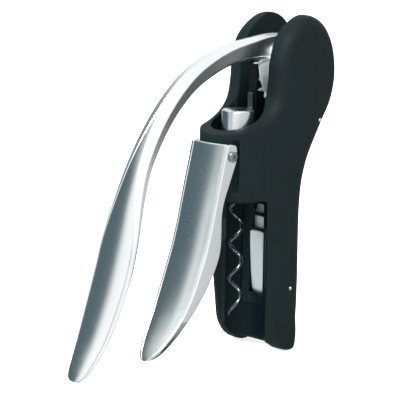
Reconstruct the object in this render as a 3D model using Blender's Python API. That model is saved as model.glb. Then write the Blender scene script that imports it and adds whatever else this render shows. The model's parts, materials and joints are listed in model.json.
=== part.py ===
"""Lever corkscrew: body, lever with pinion sector, rack carriage, worm and clamp handle.

Sizes are in millimetres about the worm axis, with Z = 0 at the foot of the body, -Y to the
front (the handle side) and +X to the right. The mesh helpers turn them into metres.
"""

import math

import bmesh
import bpy
from mathutils import Matrix, Vector

MM = 0.001

# Driving sizes
WORM_AXIS_Y = 28.1          # puts the middle of the whole object at Y = 0
BODY_HALF_WIDTH = 21.2
SLOT_HALF_WIDTH = 9.5       # between the head cheeks
BARREL_RADIUS = 19.3
RECESS_RADIUS = 13.5
BARREL_BOTTOM = 80.5
NECK_RADIUS = 16.3          # bottle cavity
EDGE_ROUND = (8.0, 8.0)     # along X and in the side view
FRONT_ROUND = (8.0, 2.0)    # of the walls beside the cavity
GAP = 0.3                   # between parts that touch

LEVER_PIVOT = (32.0, 147.0)         # Y, Z
CLAMP_PIVOT = (-17.2, 104.9)
UPPER_PIN = (39.2, 119.2)
LOWER_PIN = (19.6, 33.5)

MODULE = 2.0                # of the pinion and rack
PINION_TEETH = 18
SECTOR_TEETH = 9
PINION_RADIUS = MODULE * PINION_TEETH / 2
PRESSURE_ANGLE = math.radians(20)
BACKLASH = 0.3

WORM_PITCH = 18.3
WORM_TIP_Z = 18.4
WORM_TOP_Z = 84.0
WORM_TOP_ANGLE = math.radians(44)
WORM_COIL_RADIUS = 2.85
WORM_WIRE = 1.0             # radius of the wire
SHANK_RADIUS = 1.6

CAP_RADIUS = 8.3
CAP_TOP_Z = 126.0


def clear_scene():
    for item in list(bpy.data.objects):
        bpy.data.objects.remove(item)


# Materials

def material(name, colour, roughness, metallic=0.0):
    made = bpy.data.materials.new(name)
    made.use_nodes = True
    shader = made.node_tree.nodes["Principled BSDF"]
    shader.inputs["Base Color"].default_value = (*colour, 1.0)
    shader.inputs["Roughness"].default_value = roughness
    shader.inputs["Metallic"].default_value = metallic
    return made


def make_materials():
    return {
        "soft_black": material("soft_black", (0.018, 0.020, 0.022), 0.55),
        "inner_black": material("inner_black", (0.010, 0.011, 0.012), 0.40),
        "satin_metal": material("satin_metal", (0.62, 0.66, 0.68), 0.30, 1.0),
        "chrome": material("chrome", (0.75, 0.77, 0.78), 0.10, 1.0),
        "steel": material("steel", (0.70, 0.73, 0.74), 0.35, 1.0),
        "dark_steel": material("dark_steel", (0.05, 0.05, 0.055), 0.40, 1.0),
        "coated_worm": material("coated_worm", (0.06, 0.065, 0.07), 0.30),
        "rubber": material("rubber", (0.015, 0.015, 0.016), 0.80),
        "brass": material("brass", (0.60, 0.45, 0.20), 0.35, 1.0),
    }


# Mesh helpers

def new_object(name, points, faces):
    mesh = bpy.data.meshes.new(name)
    mesh.from_pydata([Vector(p) * MM for p in points], [], faces)
    shape = bmesh.new()
    shape.from_mesh(mesh)
    bmesh.ops.recalc_face_normals(shape, faces=shape.faces)
    shape.to_mesh(mesh)
    shape.free()
    made = bpy.data.objects.new(name, mesh)
    bpy.context.scene.collection.objects.link(made)
    return made


def loft(name, rings):
    """Closed solid through rings of equal length, with flat ends."""
    count = len(rings[0])
    points = [p for ring in rings for p in ring]
    faces = [tuple(reversed(range(count)))]
    for k in range(len(rings) - 1):
        for i in range(count):
            j = (i + 1) % count
            low, high = k * count, (k + 1) * count
            faces.append((low + i, low + j, high + j, high + i))
    last = (len(rings) - 1) * count
    faces.append(tuple(range(last, last + count)))
    return new_object(name, points, faces)


def side_plate(name, outline, x_low, x_high):
    """Solid between two X values from an outline of (Y, Z) points."""
    return loft(name, [[(x, y, z) for y, z in outline] for x in (x_low, x_high)])


def plan_plate(name, outline, z_low, z_high):
    """Solid between two heights from an outline of (X, Y) points."""
    return loft(name, [[(x, y, z) for x, y in outline] for z in (z_low, z_high)])


def turned(name, profile, steps=32, is_ring=False):
    """Solid of revolution about Z from (radius, Z) points; a ring's profile closes on itself."""
    points, rings = [], []
    for radius, z in profile:
        first = len(points)
        if radius < 1e-6:
            points.append((0.0, 0.0, z))
            rings.append([first] * steps)
            continue
        for i in range(steps):
            angle = 2 * math.pi * i / steps
            points.append((radius * math.cos(angle), radius * math.sin(angle), z))
        rings.append([first + i for i in range(steps)])
    pairs = list(zip(rings, rings[1:]))
    if is_ring:
        pairs.append((rings[-1], rings[0]))
    faces = []
    for low, high in pairs:
        for i in range(steps):
            j = (i + 1) % steps
            corner = [low[i], low[j], high[j], high[i]]
            faces.append(tuple(dict.fromkeys(corner)))
    return new_object(name, points, faces)


def turn_to(made, axis, centre):
    """Lays a shape turned about Z along X or Y and moves it to its centre."""
    lay = Matrix.Identity(4)
    if axis == "X":
        lay = Matrix.Rotation(math.pi / 2, 4, "Y")
    if axis == "Y":
        lay = Matrix.Rotation(-math.pi / 2, 4, "X")
    made.data.transform(Matrix.Translation(Vector(centre) * MM) @ lay)
    return made


def pin(name, radius, half_length, centre, axis="X", steps=20, chamfer=0.0):
    profile = [(0, -half_length), (radius - chamfer, -half_length)]
    if chamfer:
        profile += [(radius, -half_length + chamfer), (radius, half_length - chamfer)]
    profile += [(radius - chamfer, half_length), (0, half_length)]
    return turn_to(turned(name, profile, steps), axis, centre)


def ring(name, inner, outer, low, high, centre=(0, 0, 0), axis="Z", steps=32):
    profile = [(inner, low), (outer, low), (outer, high), (inner, high)]
    return turn_to(turned(name, profile, steps, is_ring=True), axis, centre)


def arc(centre, radius, start, end, steps):
    """Points on a circle from start to end, in degrees."""
    angles = [math.radians(start + (end - start) * i / steps) for i in range(steps + 1)]
    return [(centre[0] + radius * math.cos(a), centre[1] + radius * math.sin(a)) for a in angles]


def curve_through(points, steps):
    """Catmull-Rom curve through the points, both ends kept."""
    ends = [points[0], *points, points[-1]]
    made = []
    for a, b, c, d in zip(ends, ends[1:], ends[2:], ends[3:]):
        for i in range(steps):
            t = i / steps
            made.append(tuple(
                0.5 * (2 * q + (r - p) * t + (2 * p - 5 * q + 4 * r - s) * t ** 2
                       + (3 * q - p - 3 * r + s) * t ** 3)
                for p, q, r, s in zip(a, b, c, d)))
    made.append(tuple(points[-1]))
    return made


def combine(target, tool, operation):
    tool.hide_render = True
    tool.display_type = "WIRE"
    step = target.modifiers.new(operation.lower(), "BOOLEAN")
    step.operation = operation
    step.object = tool
    step.solver = "EXACT"


def cut(target, *tools):
    for tool in tools:
        combine(target, tool, "DIFFERENCE")


def join(target, *tools):
    for tool in tools:
        combine(target, tool, "UNION")


def inset(outline, distances):
    """Moves each point of a closed outline inwards along the normal of its corner."""
    moved = []
    for i, here in enumerate(outline):
        before, after = Vector(outline[i - 1]), Vector(outline[(i + 1) % len(outline)])
        first = (Vector(here) - before).normalized()
        second = (after - Vector(here)).normalized()
        normal = Vector((-first.y - second.y, first.x + second.x)).normalized()
        moved.append(tuple(Vector(here) + normal * distances[i]))
    return moved


def pillow_plate(name, outline, rounds, half_width, steps):
    """Side outline given a thickness along X, its outer edges rounded by quarter ellipses."""
    rings = []
    for i in range(steps + 1):
        turn = math.pi / 2 * i / steps
        moved = inset(outline, [drop * (1 - math.sin(turn)) for _, drop in rounds])
        rings.append([(edge * (1 - math.cos(turn)) - half_width, y, z)
                      for (y, z), (edge, _) in zip(moved, rounds)])
    mirrored = [[(-x, y, z) for x, y, z in section] for section in reversed(rings)]
    return loft(name, rings + mirrored)


# Body

BACK_LINE = [(26.0, 2.4), (28.4, 12), (29.4, 35), (29.5, 76), (33.2, 96.4), (43.2, 114.7),
             (51.2, 128), (54.3, 142), (52.0, 157), (45.0, 168.2), (35.0, 172.9), (25.2, 170.3),
             (15.5, 162.0), (11.6, 150), (10.7, 140), (8.8, 131), (4.0, 124.9), (-3.6, 120.3),
             (-12.0, 117.3)]
FRONT_LINE = [(1.2, BARREL_BOTTOM), (1.8, 65), (2.4, 50), (3.2, 35), (4.6, 25), (6.3, 13),
              (9.2, 7.0), (12.5, 3.3), (16.0, 1.2), (20.0, 0.0)]


def body_outline():
    """Side outline of the body and how far the edge is rounded at each of its points."""
    back = curve_through(BACK_LINE, 3)
    front = curve_through(FRONT_LINE, 2)
    outline = back + [(-22.0, 114.0), (-22.0, BARREL_BOTTOM)] + front + [(24.2, 0.0)]
    rounds = []
    for y, z in outline:
        share = min(1.0, 0.4 + z / 28)
        along, drop = FRONT_ROUND if (y, z) in front else EDGE_ROUND
        rounds.append((along * share, max(drop * share, FRONT_ROUND[1])))
    return outline, rounds


def body_plan():
    front = arc((0, 0), BARREL_RADIUS, 180, 360, 24)
    wide = BODY_HALF_WIDTH
    flank = [(wide + 1.0, 11.0), (wide + 1.0, 26.0)]
    back = [(18.8, 58.0)]
    mirrored = [(-x, y) for x, y in reversed(flank + back)]
    return front + flank + back + mirrored


def slot_outline():
    """Space between the cheeks, open to the front, the top and the upper back."""
    floor = [(5, 86.2), (25.6, 86.2), (28.2, 96.5), (33.8, 107.5), (39.7, 115.3), (45.5, 123.3)]
    floor += [(48.9, 130.5), (50.9, 137), (60, 137)]
    return floor + [(60, 182), (-26, 182), (-26, 118.6), (5, 118.6)]


def u_shape(radius, front):
    """Plan outline of a half round pocket at the back, open to the front."""
    return [(-radius, front), (radius, front)] + arc((0, 0), radius, 0, 180, 24)


def ring_sector(inner, outer, half_angle, steps=8):
    """Plan outline of part of a ring centred on the back of the cavity."""
    outside = arc((0, 0), outer, 90 - half_angle, 90 + half_angle, steps)
    inside = arc((0, 0), inner, 90 + half_angle, 90 - half_angle, steps)
    return outside + inside


def neck_room():
    """Bottle cavity, widened at the foot to lead the neck in."""
    widths = [(NECK_RADIUS + 3.6, -6), (NECK_RADIUS + 3.4, 0), (NECK_RADIUS + 1.2, 1.9),
              (NECK_RADIUS, 4.2), (NECK_RADIUS, BARREL_BOTTOM)]
    return loft("cut_neck", [[(x, y, z) for x, y in u_shape(r, -30)] for r, z in widths])


def make_housing():
    housing = pillow_plate("housing", *body_outline(), BODY_HALF_WIDTH, 4)
    combine(housing, plan_plate("cut_plan", body_plan(), -5, 180), "INTERSECT")
    boss = side_plate("add_boss", [(-19.0, 98.6), (-10, 98.6), (-10, 110), (-18.4, 110)], -13, 13)
    flange_room = [(-26, 86), (-13.6, 86), (-12.2, 96), (-12.2, 112.5), (-26, 112.5)]
    slot = SLOT_HALF_WIDTH
    strip_room = [(-5.4, 15), (5.4, 15), (5.4, 22), (-5.4, 22)]
    flare = [(-16.6, 7.6), (-20.9, -1), (-20.9, -30), (20.9, -30), (20.9, -1), (16.6, 7.6)]
    arch = [(8, -5), (8, 4.6), (16.6, 3.4), (21, 1.5), (36, 0.4), (36, -5)]
    spring_mouth = [(-30, 102.2), (-17.2, 102.2), (-17.2, 108), (-30, 108)]
    join(housing, boss)
    cut(housing,
        side_plate("cut_flange_right", flange_room, 11.4, 14.4),
        side_plate("cut_flange_left", flange_room, -14.4, -11.4))
    cut(housing,
        side_plate("cut_slot", slot_outline(), -slot, slot),
        pin("cut_recess", RECESS_RADIUS, 28.6, (0, 0, 106.6), "Z", 48),
        neck_room(),
        plan_plate("cut_flare", flare, -6, BARREL_BOTTOM - 0.06),
        side_plate("cut_arch", arch, -12.6, 12.6),
        plan_plate("cut_liner", ring_sector(14.0, 18.7, 32), 21.7, BARREL_BOTTOM - 0.02),
        plan_plate("cut_strip", strip_room, 24.5, BARREL_BOTTOM - 0.04),
        pin("cut_axle", 3.25, 17.8, (0, *LEVER_PIVOT), steps=24),
        pin("cut_upper_pin", 1.3, 30, (0, *UPPER_PIN), steps=12),
        pin("cut_lower_pin", 1.3, 30, (0, *LOWER_PIN), steps=12),
        pin("cut_clamp_axle", 1.8, 14, (0, *CLAMP_PIVOT), steps=16),
        pin("cut_spring", 3.1, 4.4, (0, *CLAMP_PIVOT), steps=20),
        side_plate("cut_spring_mouth", spring_mouth, -4.4, 4.4))
    for step in housing.modifiers:
        if step.type == "BOOLEAN":
            step.solver = "MANIFOLD"    # EXACT leaves open edges where the bevels meet
    return housing


def make_inner_frame():
    low, high = 86.2 + GAP, 124.0
    outline = [(13.9, low), (25.2, low), (27.8, 96.8), (33.4, 107.8), (39.3, 115.6), (45.1, 123.6)]
    outline += [(46.7, 128.0)]
    outline += arc(LEVER_PIVOT, 23.0, -56, -90, 4)
    outline += [(13.9, high)]
    frame = side_plate("inner_frame", outline, -SLOT_HALF_WIDTH + GAP, SLOT_HALF_WIDTH - GAP)
    groove = [(-3.9, 5), (3.9, 5), (3.9, 17.3), (-3.9, 17.3)]
    cut(frame,
        pin("cut_frame_front", RECESS_RADIUS + GAP, 30, (0, 0, 106), "Z", 48),
        plan_plate("cut_rack_groove", groove, 80, 130),
        pin("cut_frame_pin", 1.3, 30, (0, *UPPER_PIN), steps=12))
    return frame


def make_neck_liner():
    liner = plan_plate("neck_liner", ring_sector(NECK_RADIUS, 18.4, 31), 22.0, BARREL_BOTTOM - 0.4)
    for low, high in ((70.6, 75.4), (62.6, 69.0), (27.6, 60.6)):
        window = [(-4.95, 10), (4.95, 10), (4.95, 25), (-4.95, 25)]
        cut(liner, plan_plate(f"cut_window_{int(low)}", window, low, high))
    return liner


STRIP_LINE = [(20.6, 77.0), (19.9, 72.0), (19.0, 63.0), (19.0, 61.0), (16.3, 59.0), (15.5, 54),
              (15.9, 46), (16.8, 37), (18.3, 30), (20.2, 26.5)]


def make_spring_strip():
    line = curve_through(STRIP_LINE, 2)
    back = [(y + 0.8, z) for y, z in reversed(line)]
    return side_plate("spring_strip", line + back, -4.7, 4.7)


def make_nut_parts():
    low, high = BARREL_BOTTOM + GAP, 86.0
    block = ring("nut_block", 7.3, RECESS_RADIUS - GAP, low, high, steps=40)
    nut = ring("worm_nut", 4.3, 7.0, low + 0.5, high - 0.5)
    return block, nut


def make_return_spring():
    """Torsion spring round the clamp axle with a short leg at each end."""
    turns, per_turn = 4, 12
    radius, wire, half = 2.35, 0.32, 3.4
    y0, z0 = CLAMP_PIVOT
    path = []
    for i in range(turns * per_turn + 1):
        angle = math.pi + 2 * math.pi * i / per_turn
        x = -half + 2 * half * i / (turns * per_turn)
        path.append((x, y0 + radius * math.cos(angle), z0 + radius * math.sin(angle)))
    return tube("return_spring", path, wire, 6)


def tube(name, path, radius, sides):
    """Round wire along a path, its section turned by the least twist."""
    points = [Vector(p) for p in path]
    side = None
    rings = []
    for i, here in enumerate(points):
        ahead = points[min(i + 1, len(points) - 1)]
        behind = points[max(i - 1, 0)]
        along = (ahead - behind).normalized()
        if side is None:
            side = along.orthogonal().normalized()
        side = (side - along * side.dot(along)).normalized()
        other = along.cross(side)
        wire = radius[i] if isinstance(radius, list) else radius
        angles = [2 * math.pi * k / sides for k in range(sides)]
        rings.append([here + side * math.cos(a) * wire + other * math.sin(a) * wire for a in angles])
    return loft(name, rings)


def make_pins():
    wide = BODY_HALF_WIDTH
    parts = [pin("upper_cross_pin", 1.0, wide, (0, *UPPER_PIN), steps=16),
             pin("lower_cross_pin", 1.0, wide, (0, *LOWER_PIN), steps=16),
             pin("lever_axle", 3.0, 17.5, (0, *LEVER_PIVOT), steps=24),
             pin("clamp_axle", 1.5, 11.4, (0, *CLAMP_PIVOT), steps=16)]
    for side, name in ((1, "right"), (-1, "left")):
        bush = ring(f"axle_bush_{name}", 3.3, 6.0, -0.4, 0.4, (side * 8.8, *LEVER_PIVOT), "X", 24)
        profile = [(0, 11.7), (1.45, 11.7), (1.45, 13.5), (2.7, 13.5), (2.7, 14.2), (2.2, 14.6),
                   (0, 14.6)]
        screw = turned(f"clamp_screw_{name}", profile, 20)
        socket = pin(f"cut_socket_{name}", 1.2, 0.6, (0, 0, 14.6), "Z", 6)
        cut(screw, socket)
        for item in (screw, socket):
            turn_to(item, "X", (0, *CLAMP_PIVOT))
            if side < 0:
                item.data.transform(Matrix.Scale(-1, 4, Vector((1, 0, 0))))
                item.data.flip_normals()
        parts += [bush, screw]
    return parts


# Lever

LEVER_LINE = [  # outer face Y, Z, half width, depth, crown
    (36.0, 161.5, 5.5, 12.0, 0.8), (22.0, 162.2, 5.6, 11.6, 0.9), (5.5, 160.2, 5.8, 9.0, 1.0),
    (-10.2, 157.1, 6.1, 7.6, 1.2), (-24.0, 152.1, 6.1, 7.2, 1.3), (-37.2, 144.7, 6.1, 6.8, 1.4),
    (-49.7, 133.4, 6.2, 6.2, 1.6), (-60.3, 120.1, 6.6, 5.6, 1.9), (-69.3, 104.5, 7.6, 4.8, 2.3),
    (-75.2, 88.7, 9.6, 4.0, 2.8), (-80.5, 70.3, 12.4, 3.2, 3.4), (-84.8, 55.0, 13.1, 2.8, 3.7),
    (-90.3, 40.0, 12.8, 2.6, 3.6), (-97.6, 23.5, 11.2, 2.3, 3.2), (-104.2, 12.7, 8.9, 2.0, 2.4),
    (-108.2, 6.9, 6.4, 1.6, 1.5), (-110.0, 4.2, 3.4, 1.2, 0.6)]


def lever_rings():
    """Sections across the lever: crowned outer face, flat sides, slightly crowned underside."""
    line = curve_through(LEVER_LINE, 2)
    rings = []
    for i, (y, z, wide, depth, crown) in enumerate(line):
        before, after = line[max(i - 1, 0)], line[min(i + 1, len(line) - 1)]
        along = Vector((0, after[0] - before[0], after[1] - before[1])).normalized()
        out = Vector((0, along.z, -along.y))
        if out.z - out.y < 0:
            out = -out
        edge = Vector((0, y, z))
        section = []
        for across, lift in ((-1, 0), (-0.55, 0.75), (0, 1.0), (0.55, 0.75), (1, 0)):
            section.append(edge + Vector((across * wide, 0, 0)) + out * crown * lift)
        for across, sink in ((1, 1.0), (0.5, 1.12), (-0.5, 1.12), (-1, 1.0)):
            section.append(edge + Vector((across * wide * 0.93, 0, 0)) - out * depth * sink)
        rings.append(section)
    return rings


def make_lever():
    lever = loft("lever", lever_rings())
    hub = pin("add_hub", 13.0, 8.1, (0, *LEVER_PIVOT), steps=40, chamfer=1.0)
    join(lever, hub)
    cut(lever,
        pin("cut_lever_bore", 3.3, 12, (0, *LEVER_PIVOT), steps=24),
        pin("cut_fork", 14.3, 2.9, (0, *LEVER_PIVOT), steps=48),
        *(pin(f"cut_rivet_{name}", 1.5, 12, centre, steps=14) for name, centre in rivet_places()))
    return lever


def rivet_places():
    y, z = LEVER_PIVOT
    return (("front", (0, y - 6.5, z - 5.5)), ("rear", (0, y + 6.5, z - 5.5)))


def involute(angle):
    return math.tan(angle) - angle


def tooth_half_angle(radius):
    """Half the angle that a pinion tooth takes up at a radius."""
    base = PINION_RADIUS * math.cos(PRESSURE_ANGLE)
    slope = math.acos(min(1.0, base / radius))
    at_pitch = math.pi / (2 * PINION_TEETH) - BACKLASH / (2 * PINION_RADIUS)
    return at_pitch + involute(PRESSURE_ANGLE) - involute(slope)


def sector_outline():
    """Hub disc with teeth from the front, round below, to the back."""
    root, tip = PINION_RADIUS - 1.25 * MODULE, PINION_RADIUS + 0.95 * MODULE
    base = PINION_RADIUS * math.cos(PRESSURE_ANGLE)
    y, z = LEVER_PIVOT
    half_module = 0.5 * MODULE
    flanks = [root, base, PINION_RADIUS - half_module, PINION_RADIUS, PINION_RADIUS + half_module, tip]
    outline = []
    for k in range(SECTOR_TEETH):
        middle = math.pi + k * 2 * math.pi / PINION_TEETH
        rising = [(r, middle - tooth_half_angle(max(r, base))) for r in flanks]
        falling = [(r, 2 * middle - a) for r, a in reversed(rising)]
        outline += [(y + r * math.cos(a), z + r * math.sin(a)) for r, a in rising + falling]
    outline += arc(LEVER_PIVOT, 12.6, 352, 528, 10)
    return outline


def make_sector():
    """Toothed plate with a thin guard over the right side of its teeth."""
    guard_radius = PINION_RADIUS + 0.95 * MODULE + 0.3
    guard = arc(LEVER_PIVOT, guard_radius, 181, 344, 24) + arc(LEVER_PIVOT, 13.2, 344, 181, 24)
    sector = side_plate("toothed_sector", sector_outline(), -2.5, 2.7)
    join(sector, side_plate("add_guard", guard, 2.7, 3.4))
    cut(sector,
        pin("cut_sector_bore", 3.3, 12, (0, *LEVER_PIVOT), steps=24),
        *(pin(f"cut_sector_{name}", 1.5, 12, centre, steps=14) for name, centre in rivet_places()))
    return sector


# Carriage

def make_core():
    profile = [(0, 123.6), (6.7, 123.6), (6.7, 95.9), (CAP_RADIUS, 95.9), (CAP_RADIUS, 86.6),
               (5.3, 86.6), (5.3, 91.4), (3.7, 91.4), (3.7, 105), (0, 105)]
    core = turned("carriage_core", profile, 40)
    foot = plan_plate("add_core_foot", [(-3.2, 5), (3.2, 5), (3.2, 10.0), (-3.2, 10.0)], 86.6, 95.6)
    well = pin("cut_core_well", 5.3, 4.0, (0, 0, 87.4), "Z", 40)
    join(core, foot)
    cut(core, well, pin("cut_core_screw", 1.2, 4, (0, 9, 89.2), "Y", 12))
    return core


def make_cap():
    inside = CAP_RADIUS - 1.3
    profile = [(0, 124.0), (inside, 124.0), (inside, 96.2), (CAP_RADIUS, 96.2),
               (CAP_RADIUS, CAP_TOP_Z - 0.6), (CAP_RADIUS - 0.6, CAP_TOP_Z), (0, CAP_TOP_Z)]
    return turned("chrome_cap", profile, 48)


def make_rack():
    pitch_line = LEVER_PIVOT[0] - PINION_RADIUS
    step = math.pi * MODULE
    root, tip = pitch_line - 1.25 * MODULE, pitch_line + 0.95 * MODULE
    half = step / 4 - BACKLASH / 2
    lean = math.tan(PRESSURE_ANGLE)
    outline = [(10.3, 148.3), (10.3, 86.6), (13.4, 86.6), (13.4, 91.0), (root, 91.0)]
    for k in reversed(range(SECTOR_TEETH)):
        middle = LEVER_PIVOT[1] - (k + 0.5) * step
        low, high = half + lean * (pitch_line - root), half - lean * (tip - pitch_line)
        outline += [(root, middle - low), (tip, middle - high), (tip, middle + high),
                    (root, middle + low)]
    outline.append((root, 148.3))
    rack = side_plate("rack", outline, -2.6, 2.6)
    cut(rack, pin("cut_rack_screw", 1.2, 6, (0, 12, 89.2), "Y", 12))
    return rack


def make_carriage_details():
    tab = [(8.6, 112), (10.0, 112), (10.0, 133), (9.6, 134), (9.0, 134), (8.6, 133)]
    clip = side_plate("rack_clip", tab, -1.7, 1.7)
    profile = [(0, 5.9), (0.9, 5.9), (0.9, 13.7), (1.9, 13.7), (1.9, 14.8), (0, 14.8)]
    screw = turn_to(turned("rack_screw", profile, 14), "Y", (0, 0, 89.2))
    washer = ring("thrust_washer", 2.0, 3.4, 91.7, 92.5, steps=24)
    retainer = ring("worm_retainer", 2.2, 5.0, 87.0, 91.1, steps=28)
    return clip, screw, washer, retainer


# Worm

def make_worm():
    """Right-handed coil from its point at the bottom up to a straight shank."""
    turns = (WORM_TOP_Z - WORM_TIP_Z) / WORM_PITCH
    count = int(turns * 18)
    path, wires = [], []
    for i in range(count + 1):
        t = i / count
        angle = 2 * math.pi * turns * (t - 1) + WORM_TOP_ANGLE
        path.append((WORM_COIL_RADIUS * math.cos(angle), WORM_COIL_RADIUS * math.sin(angle),
                     WORM_TIP_Z + t * (WORM_TOP_Z - WORM_TIP_Z)))
        wires.append(WORM_WIRE * min(1.0, 0.15 + 14 * t))
    for i in range(1, 5):
        t = i / 5
        shrink = WORM_COIL_RADIUS * (1 - t) ** 2
        angle = WORM_TOP_ANGLE + t * 1.2
        path.append((shrink * math.cos(angle), shrink * math.sin(angle), WORM_TOP_Z + 6 * t))
        wires.append(WORM_WIRE + (SHANK_RADIUS - WORM_WIRE) * t)
    path += [(0, 0, 90.6), (0, 0, 99.6)]
    wires += [SHANK_RADIUS, SHANK_RADIUS]
    return tube("worm", path, wires, 8)


def make_worm_head():
    return ring("worm_head", 1.9, 3.3, 92.8, 99.0, steps=24)


# Clamp handle

CLAMP_FACE = [  # outer edge Y, Z, rear edge Y, half width, crown
    (-19.6, 111.0, -13.6, 13.1, 1.8), (-21.4, 103.5, -13.6, 13.1, 1.9),
    (-24.0, 93.9, -17.4, 13.1, 2.0), (-26.8, 82.9, -22.0, 13.1, 2.2),
    (-28.6, 75.2, -23.6, 13.1, 2.4), (-30.6, 67.5, -23.7, 13.1, 2.5),
    (-33.4, 58.5, -24.2, 13.1, 2.6), (-36.7, 50.2, -27.0, 13.0, 2.6),
    (-41.4, 39.2, -33.1, 12.7, 2.6), (-46.6, 29.2, -40.4, 11.8, 2.5),
    (-52.0, 21.0, -47.0, 10.3, 2.2)]
CLAMP_TOE = [(-56.4, 15.2, -52.0, 8.6, 1.8), (-60.0, 10.8, -56.0, 6.7, 1.3),
             (-62.6, 7.4, -59.4, 4.4, 0.8), (-63.6, 5.8, -61.6, 2.6, 0.4)]


def channel_rings(inset, low_cut):
    """Sections of the clamp handle, level across; an inset gives its hollow."""
    stations = curve_through(CLAMP_FACE + ([] if low_cut else CLAMP_TOE), 2)
    rings = []
    for y, z, rear, wide, crown in stations:
        face = y + inset
        back = rear + (12 if inset else 0)
        half = wide - inset
        outer = [(-1, 0), (-0.55, 0.75), (0, 1), (0.55, 0.75), (1, 0)]
        section = [(half * across, face - crown * lift, z) for across, lift in outer]
        rings.append([(-half, back, z), *section, (half, back, z)])
    if inset:
        top = [(x, y, z + 4) for x, y, z in rings[0]]
        rings.insert(0, top)
    return rings


def make_clamp_handle():
    handle = loft("clamp_handle", channel_rings(0.0, False))
    cut(handle,
        loft("cut_channel", channel_rings(1.4, True)),
        pin("cut_clamp_bore", 1.8, 20, (0, *CLAMP_PIVOT), steps=16))
    return handle


def make_jaw_parts():
    outline = [(-36.3, 46.2), (-29.6, 46.2), (-25.6, 54), (-24.0, 60), (-24.0, 72), (-24.6, 75),
               (-26.7, 75), (-28.6, 68.2), (-32.2, 56)]
    jaw = side_plate("clamp_jaw", outline, -11.3, 11.3)
    parts = [jaw]
    for name, z in (("upper", 66.0), ("lower", 57.0)):
        hole = pin(f"cut_jaw_{name}", 1.2, 12, (0, -26, z), "Y", 12)
        sink = pin(f"cut_sink_{name}", 2.4, 2.0, (0, -23.6, z), "Y", 14)
        cut(jaw, hole, sink)
        y_head = -25.9
        profile = [(0, -2.2), (0.9, -2.2), (0.9, 0), (1.9, 0), (1.9, 1.2), (0, 1.2)]
        screw = turn_to(turned(f"jaw_screw_{name}", profile, 14), "Y", (0, y_head + 0.6, z))
        parts.append(screw)
    for name, side in (("right", 1), ("left", -1)):
        pad = [(-23.7, 61.5), (-19.6, 63.2), (-18.8, 64.2), (-18.8, 73.2), (-19.6, 74.2),
               (-23.7, 74.2)]
        x_low, x_high = sorted((side * 3.6, side * 11.2))
        parts.append(side_plate(f"jaw_pad_{name}", pad, x_low, x_high))
    return parts


# Assembly

def pivot_empty(name, centre):
    made = bpy.data.objects.new(name, None)
    made.location = (Vector(centre) + Vector((0, WORM_AXIS_Y, 0))) * MM
    bpy.context.scene.collection.objects.link(made)
    return made


def put_on(pivot, centre, parts, finish):
    """Hangs parts and their cutters on a pivot, with the mesh origin moved to the pivot."""
    shift = Matrix.Translation(-Vector(centre) * MM)
    for item in parts:
        item.data.materials.append(finish)
        item.data.shade_smooth()
        item.data.set_sharp_from_angle(angle=math.radians(35))
        tools = [step.object for step in item.modifiers if step.type == "BOOLEAN"]
        for thing in (item, *tools):
            thing.data.transform(shift)
            thing.parent = pivot


def main():
    clear_scene()
    finish = make_materials()

    centre = (0, 0, 0)
    body = pivot_empty("body_frame", centre)
    block, nut = make_nut_parts()
    put_on(body, centre, [make_housing()], finish["soft_black"])
    put_on(body, centre, [make_inner_frame(), make_neck_liner(), block], finish["inner_black"])
    put_on(body, centre, [make_spring_strip(), make_return_spring(), *make_pins()], finish["steel"])
    put_on(body, centre, [nut], finish["brass"])

    centre = (0, *LEVER_PIVOT)
    swing = pivot_empty("lever_pivot", centre)
    rivets = [pin(f"sector_rivet_{name}", 1.2, 7.9, place, steps=14) for name, place in rivet_places()]
    put_on(swing, centre, [make_lever()], finish["satin_metal"])
    put_on(swing, centre, [make_sector(), *rivets], finish["steel"])

    centre = (0, 0, 90)
    slide = pivot_empty("carriage_slide", centre)
    clip, screw, washer, retainer = make_carriage_details()
    put_on(slide, centre, [make_core(), retainer], finish["inner_black"])
    put_on(slide, centre, [make_cap()], finish["chrome"])
    put_on(slide, centre, [make_rack()], finish["dark_steel"])
    put_on(slide, centre, [clip, screw], finish["steel"])
    put_on(slide, centre, [washer], finish["brass"])

    spin = pivot_empty("worm_axis", centre)
    put_on(spin, centre, [make_worm()], finish["coated_worm"])
    put_on(spin, centre, [make_worm_head()], finish["steel"])

    centre = (0, *CLAMP_PIVOT)
    squeeze = pivot_empty("clamp_pivot", centre)
    jaw, *details = make_jaw_parts()
    screws = [item for item in details if "screw" in item.name]
    pads = [item for item in details if "pad" in item.name]
    put_on(squeeze, centre, [make_clamp_handle()], finish["satin_metal"])
    put_on(squeeze, centre, [jaw], finish["inner_black"])
    put_on(squeeze, centre, screws, finish["steel"])
    put_on(squeeze, centre, pads, finish["rubber"])


main()
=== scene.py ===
"""Looks of the lever corkscrew: fine meshes, materials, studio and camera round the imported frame.

Design sizes are in millimetres about the worm axis, with Z = 0 at the foot, -Y to the front
and +X to the right. The mesh helpers turn them into metres in the frame's own coordinates.
"""

import json
import math

import bmesh
import bpy
from mathutils import Matrix, Vector

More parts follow.
